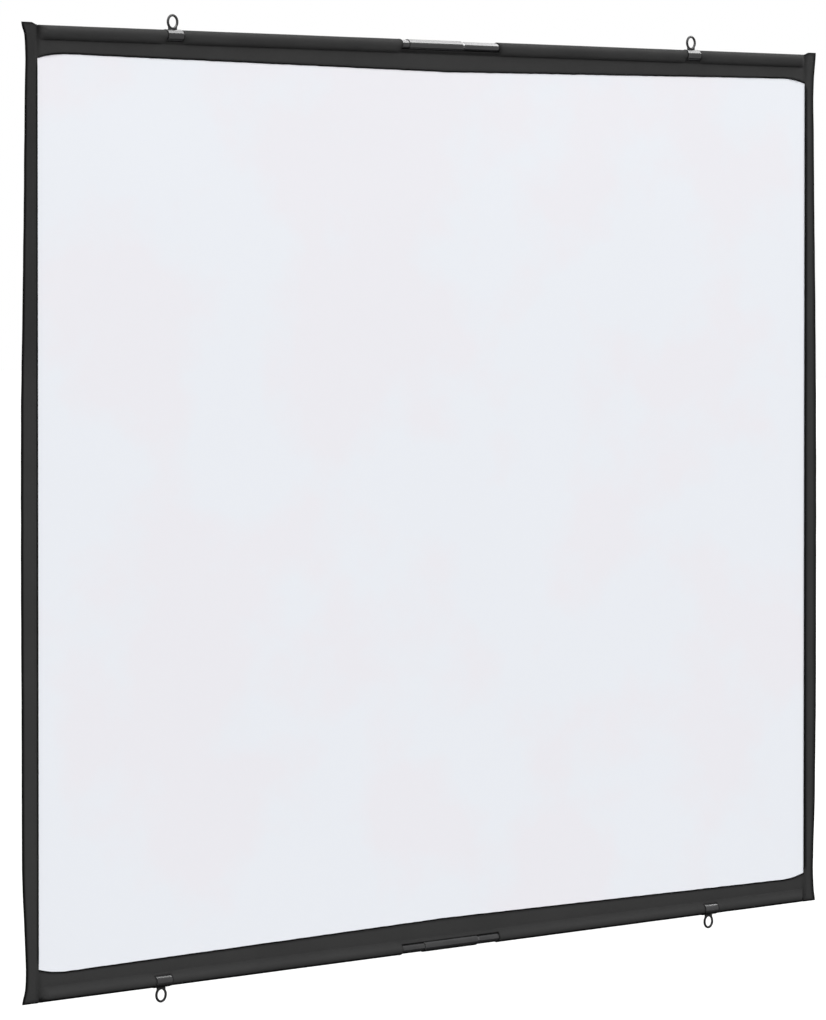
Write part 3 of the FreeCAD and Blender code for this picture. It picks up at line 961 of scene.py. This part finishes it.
    def from_edge(self, fold_shade, fold_dark, fold_clear, seam_shade, rim_shade, notch_shade, valley_shade):
        """How far each point is from the cloth's nearest free edge, for its painted shade. Its fold and its valleys
        count as softer edges.
        """
        foot_slope, rim_slope, seam_rise, hem_below_fold = 0.7, 0.22, 10 * MM, 6 * MM
        down = lengths_down(self.grid)
        seams = self.seam_row, self.mirror_row(self.seam_row)
        above = np.minimum(down - down[seams[0]], down[seams[1]] - down)
        from_fold = np.abs(down - down[self.front_rows - 1])
        from_hem = np.abs(np.abs(self.x) - HALF_VIEW)
        valley_shades = np.where(self.x < 0, valley_shade, SOFT_VALLEY_SHADE)
        distances = [
            foot_slope * np.minimum(down, down[-1] - down),
            fading(fold_shade, (from_fold - fold_dark) / (fold_clear - fold_dark)),
            fading(seam_shade, np.where(above > -1e-6, above / seam_rise, 1)),
            valley(from_hem, np.maximum(from_fold - hem_below_fold, 0), valley_shades),
        ]
        for middle, half, front, back in self.rims():
            beyond = np.maximum(np.abs(self.x - middle) - half, 0)
            below = np.maximum(down[front] - down, 0) + np.maximum(down - down[back], 0)
            if middle == 0:
                shade, spread_out = rim_shade, np.hypot(beyond, below)
            else:
                shade, spread_out = notch_shade, np.hypot(2 * beyond, 0.6 * below)
            distances.append(shade_distance(shade) + rim_slope * spread_out)
        return np.min(distances, axis=0)

    def placed(self, points, upside_down):
        """Points moved to their bar, turned over for the bottom one."""
        turned = np.array(points, float)
        if upside_down:
            turned[..., 2] *= -1
        turned[..., 2] += BOTTOM_AXIS if upside_down else TOP_AXIS
        return turned

    def edge_runs(self, inset):
        """Closed lines round the cut-outs, half a thickness inside the cloth."""
        inner = self.grid - facings(self.grid) * inset
        runs = []
        for middle, half, front, back in self.rims():
            columns = self.span(middle - half, middle + half)
            over = np.arange(front, back + 1)
            loop = [inner[front, columns], inner[over[1:], columns[-1]]]
            loop += [inner[over[-1], columns[-2::-1]], inner[over[-2:0:-1], columns[0]]]
            loop = np.concatenate(loop)
            runs.append((loop, np.tile((0.0, 0.0, 1.0), (len(loop), 1)), True))
        return runs

    def stitch_runs(self, upside_down):
        """Lines of stitches: the seam, the flap's edge and round the cut-outs, front and back."""
        normals = facings(self.grid)
        down = lengths_down(self.grid)
        shown = self.span(-HALF_VIEW - 1e-3, HALF_VIEW + 1e-3)
        lines = []

        def along(row, columns):
            lines.append((self.grid[row, columns], normals[row, columns]))

        for row in (self.seam_row, self.mirror_row(self.seam_row)):
            along(row, shown)
        for lengths, grid, normal in (
            (down, self.grid, normals),
            ((down[-1] - down)[::-1], self.grid[::-1], normals[::-1]),
        ):
            at = np.array([
                [np.interp(self.FOOT_STITCH_INSET, lengths[:, c], grid[:, c, k]) for k in range(3)] for c in shown
            ])
            lines.append((at, normal[2, shown]))
        for middle, half, front, back in self.rims():
            over = np.arange(front - 1, back + 2)
            for edge in (middle - half - self.RIM_STEP, middle + half + self.RIM_STEP):
                along(over, int(np.argmin(np.abs(self.x - edge))))
            inside = self.span(middle - half, middle + half)
            for below in (front - 1, back + 1):
                along(below, inside)
        runs = []
        for points, normal in lines:
            facing = np.array(normal)
            if upside_down:
                facing[:, 2] *= -1
            runs.append((self.placed(points, upside_down), facing, False))
        return runs


class SCREEN_OT_viewing_sheet(bpy.types.Operator):
    """Makes the white sheet, which hangs from the top pocket in long shallow waves"""

    bl_idname = "screen.viewing_sheet"
    bl_label = "Viewing sheet"

    def execute(self, context):
        cloth, finish = context.scene.screen_cloth, context.scene.screen_finish
        step, held, ease = 11 * MM, 24 * MM, 140 * MM
        long_wave, short_wave = 0.42, 0.2
        across = stations([-CLOTH_END, -HALF_VIEW, HALF_VIEW, CLOTH_END], step)
        down = stations([SHEET_LOW.z, SHEET_HIGH.z], step)
        x, z = np.meshgrid(across, down)
        at = np.stack([x, np.zeros_like(x), z], axis=2)
        margin = np.minimum(HALF_VIEW - np.abs(x), np.minimum(SHEET_HIGH.z - z, z - SHEET_LOW.z))
        free = smooth((margin - held) / ease)
        waves = waver(at * (1, 1, 0.35), long_wave, cloth.seed + 3)
        waves += 0.5 * waver(at * (1, 1, 0.6), short_wave, cloth.seed + 5)
        at[:, :, 1] = -SHEET_FACE + cloth.sheet_wave * waves * free
        made = grid_piece(
            "viewing_sheet", at, finish_material(sheet_white, finish), 2 * SHEET_FACE,
            flat=np.stack([x, z], axis=2),
        )
        on_body(made, SCREEN, "screen_sheet")
        return {"FINISHED"}


class SCREEN_OT_pockets(bpy.types.Operator):
    """Makes the two pockets: cloth folded over each bar, with rolled cut-outs and stitching"""

    bl_idname = "screen.pockets"
    bl_label = "Pockets"

    # The cloth's shares of its brightness in its painted shade, and how far from the fold that painted shade stays and
    # is gone
    TOP_SHADES = {
        "fold_shade": 0.8, "fold_dark": 2 * MM, "fold_clear": 7 * MM, "seam_shade": 1.0, "rim_shade": 0.32,
        "notch_shade": 0.6, "valley_shade": DEEP_VALLEY_SHADE,
    }
    BOTTOM_SHADES = {
        "fold_shade": EDGE_SHADE, "fold_dark": 5.8 * MM, "fold_clear": 8 * MM, "seam_shade": 0.8, "rim_shade": 0.7,
        "notch_shade": 0.85, "valley_shade": SOFT_VALLEY_SHADE,
    }

    def execute(self, context):
        cloth, finish = context.scene.screen_cloth, context.scene.screen_finish
        black = finish_material(cloth_black, finish)
        for name, upside_down, fullness, shades, edging_shade in (
            ("top", False, cloth.top_fullness, self.TOP_SHADES, 0.65),
            ("bottom", True, cloth.bottom_fullness, self.BOTTOM_SHADES, 0.7),
        ):
            bands = [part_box(f"{name}_collar_{side}") for side in ("left", "right")]
            collars = [(low.x + high.x) / 2 for low, high in bands]
            pocket = Pocket(cloth, collars, fullness, cloth.seed + 20 * upside_down)
            made = grid_piece(
                f"{name}_pocket_cloth", pocket.placed(pocket.grid, upside_down), black, cloth.thickness,
                from_edge=pocket.from_edge(**shades), keep=pocket.kept(),
            )
            on_body(made, SCREEN, f"{name}_pocket")
            rolled = [
                (pocket.placed(points, upside_down), facing, closed)
                for points, facing, closed in pocket.edge_runs(cloth.thickness / 2)
            ]
            edging = grown(path_object(f"{name}_pocket_edging", rolled), edging_tree(), {
                "Radius": cloth.edging_radius, "From Edge": shade_distance(edging_shade), "Material": black,
            })
            on_body(edging, SCREEN)
            stitches = stitched(f"{name}_pocket_stitches", pocket.stitch_runs(upside_down), cloth, finish)
        return {"FINISHED"}


class SCREEN_OT_side_hems(bpy.types.Operator):
    """Makes the two side hems: cloth folded round the sheet's edge, with a flared ear at each corner"""

    bl_idname = "screen.side_hems"
    bl_label = "Side hems"

    # Places of the points down a hem and across each of its faces, as shares, and the rows round its fold
    DOWN_BREAKS = (0, 0.0006, 0.0012, 0.02, 0.06, 0.94, 0.98, 0.9988, 0.9994, 1)
    DOWN_STEP = 0.006
    FINE_ENDS, FINE_COUNT = 0.03, 14
    REACHES = (0, 0.05, 0.1, 0.15, 0.2, 0.35, 0.5, 0.65, 0.8, 0.92, 1)
    FOLD_ROWS = 9
    # How far from the inner edge its painted shade stays and is gone, the other edges' painted shades, and the painted
    # shade of the upper part
    LEFT_SHADES = {"dark": 2.2 * MM, "clear": 4 * MM, "fold_slope": 0.55, "valley_shade": DEEP_VALLEY_SHADE, "upper_shade": 0.8}
    RIGHT_SHADES = {"dark": 3 * MM, "clear": 6.5 * MM, "fold_slope": 0.25, "valley_shade": SOFT_VALLEY_SHADE, "upper_shade": 1.0}

    def width_at(self, share, widths, seed):
        """The hem's width, evened out and then made a little uneven."""
        samples, evened, uneven, uneven_size = 1201, 9, 0.3 * MM, 35 * MM
        fine = np.linspace(0, 1, samples)
        table = np.interp(fine, *np.array(widths).T) * MM
        table = np.convolve(np.pad(table, evened // 2, mode="edge"), np.ones(evened) / evened, mode="valid")
        line = np.outer(share * (TOP - BOTTOM), (0, 0, 1))
        return np.interp(share, fine, table) + uneven * waver(line, uneven_size, seed)

    def hem_grid(self, cloth, widths, seed):
        """The right-hand hem's points: rows from the front's inner edge round the fold to the back's, columns down."""
        end_inset, end_round, sunk_share = 0.2 * MM, 1.4 * MM, 0.35
        ends = np.linspace(0, self.FINE_ENDS, self.FINE_COUNT), np.linspace(1 - self.FINE_ENDS, 1, self.FINE_COUNT)
        share = np.unique(np.concatenate([stations(self.DOWN_BREAKS, self.DOWN_STEP), *ends]))
        width = self.width_at(share, widths, seed)
        inset = np.minimum(share, 1 - share) * (TOP - BOTTOM)
        plump = np.sqrt(np.clip(1 - (1 - np.clip(inset / end_round, 0, 1)) ** 2, 0, 1))
        pressed = cloth.thickness * 1.05
        half = pressed + (HEM_FACE - pressed) * plump
        sink = over_pocket(inset) * np.maximum(half - SHEET_FACE - cloth.thickness - 0.1 * MM, 0)
        rows = []
        for reach in self.REACHES:
            rows.append(((width - half) * reach, sink * (1 - smooth(reach / sunk_share)) - half, -1))
        for turn in np.linspace(0, math.pi, self.FOLD_ROWS)[1:-1]:
            rows.append((width - half + half * math.sin(turn), -half * math.cos(turn), 0))
        for reach in reversed(self.REACHES):
            rows.append(((width - half) * reach, half - sink * (1 - smooth(reach / sunk_share)), 1))
        grid = []
        for out, y, side in rows:
            top = TOP + end_inset + cloth.flare_rise * smooth(out / cloth.flare_length)
            z = top + (BOTTOM - end_inset - top) * share
            at = np.stack([HALF_VIEW + out, y + np.zeros_like(z), z], axis=1)
            if side:
                at[:, 1] += side * self.looseness(at, out, inset, seed)
            grid.append(at)
        return np.array(grid)

    def looseness(self, at, out, inset, seed):
        """How far the hem's face stands off, away from its inner edge and its ends."""
        inner_ease, end_ease, stand_off = 4 * MM, 6 * MM, 0.12 * MM
        loose = np.clip(out / inner_ease, 0, 1) * np.clip(inset / end_ease, 0, 1)
        ease = 0.22 * MM * waver(at * (1, 1, 0.5), 12 * MM, seed + 3) + 0.2 * MM * waver(at, 60 * MM, seed + 5)
        return loose * (ease + stand_off)

    def from_edge(self, grid, across, dark, clear, fold_slope, valley_shade, upper_shade):
        """How far each point is from the hem's inner edge, its fold or its ends, for its painted shade. On the pockets
        the edge is soft.
        """
        end_shade, end_slope, upper_end, upper_fade = 0.3 * MM, 0.55, 0.37, 0.09
        z = grid[:, :, 2]
        inset = np.maximum(np.minimum(TOP - z, z - BOTTOM), 0)
        from_end = np.minimum(z[:, :1] - z, z - z[:, -1:])
        from_inner = np.minimum(across, across[-1] - across)
        on_pocket = over_pocket(inset)
        valley_shades = np.where(z > (TOP + BOTTOM) / 2, valley_shade, SOFT_VALLEY_SHADE)
        return np.min([
            fading(EDGE_SHADE, (from_inner - dark) / (clear - dark)) + EDGE_CLEAR * on_pocket,
            valley(from_inner, inset, valley_shades) + EDGE_CLEAR * (1 - on_pocket),
            fold_slope * np.abs(across - across[-1] / 2),
            end_shade + end_slope * from_end,
            # Painted shade over the hem's upper part
            fading(upper_shade, (TOP - z - upper_end) / upper_fade),
        ], axis=0)

    def stitch_runs(self, grid):
        """Lines of stitches along the inner edges and across the ends of both faces."""
        normals = facings(grid)
        front, from_inner, from_end = len(self.REACHES), 4, 8
        along = slice(from_inner, grid.shape[1] - from_inner)
        runs = []
        for row in (from_inner, len(grid) - 1 - from_inner):
            runs.append((grid[row, along], normals[row, along], False))
        for column in (from_end, grid.shape[1] - 1 - from_end):
            for rows in (slice(2, front - 1), slice(len(grid) - 3, len(grid) - front, -1)):
                runs.append((grid[rows, column], normals[rows, column], False))
        return runs

    def execute(self, context):
        cloth, finish = context.scene.screen_cloth, context.scene.screen_finish
        for name, sign, widths, shades in (
            ("left", -1, LEFT_HEM_WIDTHS, self.LEFT_SHADES),
            ("right", 1, RIGHT_HEM_WIDTHS, self.RIGHT_SHADES),
        ):
            grid = self.hem_grid(cloth, widths, cloth.seed + 40 + 7 * sign) * (sign, 1, 1)
            across = lengths_down(grid)
            made = grid_piece(
                f"side_hem_cloth_{name}", grid, finish_material(cloth_black, finish), cloth.thickness,
                from_edge=self.from_edge(grid, across, **shades),
                flat=np.stack([grid[:, :, 2], across], axis=2),
            )
            on_body(made, SCREEN, f"side_hem_{name}")
            stitches = stitched(f"side_hem_stitches_{name}", self.stitch_runs(grid), cloth, finish)
        return {"FINISHED"}


class SCREEN_OT_bars(bpy.types.Operator):
    """Makes the tubes of the two bars, joined in a swaged socket, and coats the plugs in their ends"""

    bl_idname = "screen.bars"
    bl_label = "Bars"

    def execute(self, context):
        finish = context.scene.screen_finish
        wall, soft, shoulder, straight = 0.8 * MM, 0.3 * MM, 5 * MM, 2 * MM
        swage = [(share, smooth(share)) for share in np.linspace(1, 0, 9)]
        bore = BAR_RADIUS - wall
        paint = finish_material(
            satin_paint, "bar_paint", finish.bar, finish.bare_steel,
            wear=0.5, smooth_side=0.09, rough_side=0.15, specular=0.2,
        )
        for name, axis in (("top", TOP_AXIS), ("bottom", BOTTOM_AXIS)):
            left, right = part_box(f"{name}_bar_left"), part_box(f"{name}_bar_right")
            start, tip, mouth, end = left[0].x, left[1].x, right[0].x, right[1].x
            socket = right[1].y
            profiles = {
                "left": [
                    (start, bore), (start, BAR_RADIUS), (mouth, BAR_RADIUS), (tip, BAR_RADIUS), (tip, bore),
                ],
                "right": [
                    (end, bore), (end, BAR_RADIUS), (tip + shoulder + straight, BAR_RADIUS),
                    *((tip + shoulder * along, socket + (BAR_RADIUS - socket) * down) for along, down in swage),
                    (tip - straight, socket), (mouth + 3 * soft, socket), (mouth + soft, socket),
                    (mouth + 0.3 * soft, socket - 0.3 * soft), (mouth, socket - soft),
                    (mouth, socket - wall), (tip, socket - wall), (tip + shoulder, bore),
                ],
            }
            for side, profile in profiles.items():
                worn = [0.5 if abs(x - mouth) < 2 * soft and radius > BAR_RADIUS else 0.0 for x, radius in profile]
                made = lathe(f"{name}_tube_{side}", profile, worn, (0, 0, axis), paint, UNDERSIDE_SHADE[name])
                on_body(made, SCREEN, f"{name}_bar_{side}")
                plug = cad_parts[f"{name}_plug_{side}"]
                plug.data.materials.clear()
                plug.data.materials.append(finish_material(moulded_plastic, finish))
        return {"FINISHED"}


class SCREEN_OT_hangers(bpy.types.Operator):
    """Makes the four collars and their wire eyes, softened where they are welded and rubbed where they are used"""

    bl_idname = "screen.hangers"
    bl_label = "Hangers"

    def collar(self, name, solid, axis, paint, underside_shade):
        """A band with rounded rims, worn along them, and darkened below by painted shade."""
        play, soft, chamfer = 0.25 * MM, 0.4 * MM, 0.1 * MM
        low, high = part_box(solid)
        outer, bore = high.y, BAR_RADIUS + play
        middle, half = (low.x + high.x) / 2, (high.x - low.x) / 2
        rim = [(-half, bore + chamfer, 0.3)]
        for turn in np.linspace(0, math.pi / 2, 5):
            rim.append((-half + soft * (1 - math.cos(turn)), outer - soft * (1 - math.sin(turn)), 1.0))
        rim += [(-half + 2 * soft, outer, 0.5), (-half + 5 * soft, outer, 0.0)]
        rim += [(-x, radius, worn) for x, radius, worn in reversed(rim)]
        rim += [(half - chamfer, bore, 0.0), (-half + chamfer, bore, 0.0)]
        profile, worn = [(x, radius) for x, radius, _ in rim], [rubbed for *_, rubbed in rim]
        return lathe(name, profile, worn, (middle, 0, axis), paint, underside_shade)

    def eye(self, name, solid, centre, paint):
        """The welded eye, with its corners run together, rubbed inside."""
        voxel, rubbed_to, rubbed_ease = 0.22 * MM, 6.7 * MM, 0.9 * MM
        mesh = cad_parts[solid].data.copy()
        mesh.name = name
        work = bmesh.new()
        work.from_mesh(mesh)
        bmesh.ops.remove_doubles(work, verts=work.verts, dist=1e-6)
        work.to_mesh(mesh)
        work.free()
        rough = piece(name, mesh, None)
        even = rough.modifiers.new("even", "REMESH")
        even.mode = "VOXEL"
        even.voxel_size = voxel
        run = rough.modifiers.new("run", "SMOOTH")
        run.factor, run.iterations = 0.5, 6
        soft = plain_mesh(rough)
        points = np.array([v.co for v in soft.vertices])
        from_centre = np.hypot(points[:, 0] - centre.x, points[:, 2] - centre.z)
        mark_points(soft, "worn", 1 - smooth((from_centre - rubbed_to) / rubbed_ease))
        shade_smooth(soft)
        return piece(name, soft, paint)

    def execute(self, context):
        finish = context.scene.screen_finish
        satin = finish_material(
            satin_paint, "eye_paint", finish.eye, finish.bare_steel,
            wear=0.2, smooth_side=0.45, rough_side=0.55, specular=0.15,
        )
        for name, axis, smooth_side, rough_side in (
            ("top", TOP_AXIS, 0.10, 0.17), ("bottom", BOTTOM_AXIS, 0.22, 0.32),
        ):
            gloss = finish_material(
                satin_paint, f"{name}_collar_paint", finish.collar, finish.bare_steel,
                wear=0.06, smooth_side=smooth_side, rough_side=rough_side, specular=0.15,
            )
            for side in ("left", "right"):
                body = f"{name}_hanger_{side}"
                band = self.collar(f"{name}_band_{side}", f"{name}_collar_{side}", axis, gloss, UNDERSIDE_SHADE[name])
                on_body(band, body, f"{name}_collar_{side}")
                low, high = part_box(f"{name}_eye_{side}")
                reach = (high.x - low.x) / 2
                centre = Vector(((low.x + high.x) / 2, 0, high.z - reach if name == "top" else low.z + reach))
                ring = self.eye(f"{name}_ring_{side}", f"{name}_eye_{side}", centre, satin)
                on_body(ring, body, f"{name}_eye_{side}")
        return {"FINISHED"}


class SCREEN_OT_studio(bpy.types.Operator):
    """Sets the pale floor, the white surround, the overhead strips, which spare the lower bar, and the camera"""

    bl_idname = "screen.studio"
    bl_label = "Studio"

    def surround(self, studio):
        """A white world with a dark ground, which lies further down in what the steel mirrors."""
        ground_to, sky_from, mirrored_ground_to, mirrored_sky_from = -0.30, -0.06, -0.95, -0.80
        world = bpy.data.worlds.new("white_surround")
        bpy.context.scene.world = world
        world.use_nodes = True
        tree = world.node_tree
        place = node(tree, "ShaderNodeTexCoord").outputs["Generated"]
        height = node(tree, "ShaderNodeSeparateXYZ", {"Vector": place}).outputs["Z"]
        ray = node(tree, "ShaderNodeLightPath").outputs
        lit = ramp(tree, height, ground_to, sky_from, studio.ground, studio.sky)
        mirrored = ramp(tree, height, mirrored_ground_to, mirrored_sky_from, studio.ground, studio.sky)
        bright = ramp(tree, ray["Is Glossy Ray"], 0.0, 1.0, lit, mirrored)
        bright = ramp(tree, ray["Is Camera Ray"], 0.0, 1.0, bright, 1.0)
        feed(tree, tree.nodes["Background"].inputs["Strength"], bright)
        feed(tree, tree.nodes["Background"].inputs["Color"], (1, 1, 1, 1))

    def hide(self, made, *rays):
        """Hides a piece of the stage from those rays."""
        for ray in rays:
            setattr(made, f"visible_{ray}", False)

    def level_piece(self, name, material, half_width, front, back, z):
        """A flat piece of the stage."""
        mesh = bpy.data.meshes.new(name)
        corners = [(-half_width, front, z), (half_width, front, z), (half_width, back, z), (-half_width, back, z)]
        mesh.from_pydata(corners, [], [(0, 1, 2, 3)])
        made = piece(name, mesh, material)
        return made

    def floor(self, studio):
        reach = 45.0
        material, tree = shell("pale_floor")
        shade = spread(tree, noise_node(tree, own_place(tree), 0.6), 0.80, 0.84)
        colour = node(tree, "ShaderNodeCombineColor", {"Red": shade, "Green": shade, "Blue": shade})
        coated(material, {"Base Color": colour.outputs["Color"], "Roughness": 0.9, "Specular IOR Level": 0.1})
        made = self.level_piece("pale_floor", material, reach, -reach, reach, studio.floor_height)
        self.hide(made, "diffuse", "glossy")

    def mat(self, studio):
        """A dark mat under the screen, which only what is glossy shows."""
        half_width, above_floor = 6, 0.01
        material = coated(shell("dark_mat")[0], {"Base Color": (0.01, 0.01, 0.01, 1), "Roughness": 0.9})
        made = self.level_piece(
            "dark_mat", material, half_width, -studio.mat_reach, 5 * studio.mat_reach,
            studio.floor_height + above_floor,
        )
        self.hide(made, "camera", "diffuse", "shadow")

    def strip(self, studio, name, bright, front, back, shaded):
        """An overhead light that only what is glossy shows, from front to back along Y."""
        light = bpy.data.lights.new(name, "AREA")
        light.shape = "RECTANGLE"
        light.size, light.size_y = 6.0, back - front
        light.energy = bright * math.pi * light.size * light.size_y
        made = bpy.data.objects.new(name, light)
        made.location = (0, (front + back) / 2, studio.strip_height)
        self.hide(made, "camera", "diffuse")
        made.light_linking.receiver_collection = shaded
        bpy.context.scene.collection.objects.link(made)

    def camera(self, studio):
        data = bpy.data.cameras.new("photograph_view")
        data.lens = studio.lens
        data.sensor_width = 36
        data.shift_y = studio.camera_shift
        data.clip_start, data.clip_end = 0.1, 200
        made = bpy.data.objects.new("photograph_view", data)
        made.location = studio.camera_place
        made.rotation_euler = (math.pi / 2 - studio.camera_tilt, 0, -studio.camera_turn)
        bpy.context.scene.collection.objects.link(made)
        bpy.context.scene.camera = made

    def execute(self, context):
        studio = context.scene.screen_studio
        strips_front, strips_meet, strips_back = -0.36, -0.07, 0.22
        context.scene.view_settings.view_transform = "Standard"
        self.surround(studio)
        self.floor(studio)
        self.mat(studio)
        shaded = bpy.data.collections.new("shaded_from_strips")
        for name in ("bottom_tube_left", "bottom_tube_right"):
            shaded.objects.link(bpy.data.objects[name])
        for entry in shaded.collection_objects:
            entry.light_linking.link_state = "EXCLUDE"
        self.strip(studio, "overhead_front", studio.front_strip, strips_front, strips_meet, shaded)
        self.strip(studio, "overhead_back", studio.back_strip, strips_meet, strips_back, shaded)
        self.camera(studio)
        return {"FINISHED"}


class SCREEN_PT_panel(bpy.types.Panel):
    """Lists the screen's pieces, sizes and colours"""

    bl_idname = "SCREEN_PT_panel"
    bl_label = "Projection screen"
    bl_space_type = "VIEW_3D"
    bl_region_type = "UI"
    bl_category = "Screen"

    def draw(self, context):
        for operator in OPERATORS:
            self.layout.operator(operator.bl_idname)
        for group in (context.scene.screen_cloth, context.scene.screen_finish, context.scene.screen_studio):
            box = self.layout.box()
            for name in group.__annotations__:
                box.prop(group, name)


OPERATORS = (
    SCREEN_OT_bars,
    SCREEN_OT_hangers,
    SCREEN_OT_viewing_sheet,
    SCREEN_OT_pockets,
    SCREEN_OT_side_hems,
    SCREEN_OT_studio,
)
GROUPS = (("screen_cloth", ScreenCloth), ("screen_finish", ScreenFinish), ("screen_studio", ScreenStudio))


def register():
    for name, group in GROUPS:
        bpy.utils.register_class(group)
        setattr(bpy.types.Scene, name, PointerProperty(type=group))
    for kind in (*OPERATORS, SCREEN_PT_panel):
        bpy.utils.register_class(kind)


def unregister():
    for kind in (SCREEN_PT_panel, *reversed(OPERATORS)):
        bpy.utils.unregister_class(kind)
    for name, group in reversed(GROUPS):
        delattr(bpy.types.Scene, name)
        bpy.utils.unregister_class(group)


def main():
    register()
    bpy.ops.screen.bars()
    bpy.ops.screen.hangers()
    bpy.ops.screen.viewing_sheet()
    bpy.ops.screen.pockets()
    bpy.ops.screen.side_hems()
    bpy.ops.screen.studio()


if __name__ == "__main__":
    main()
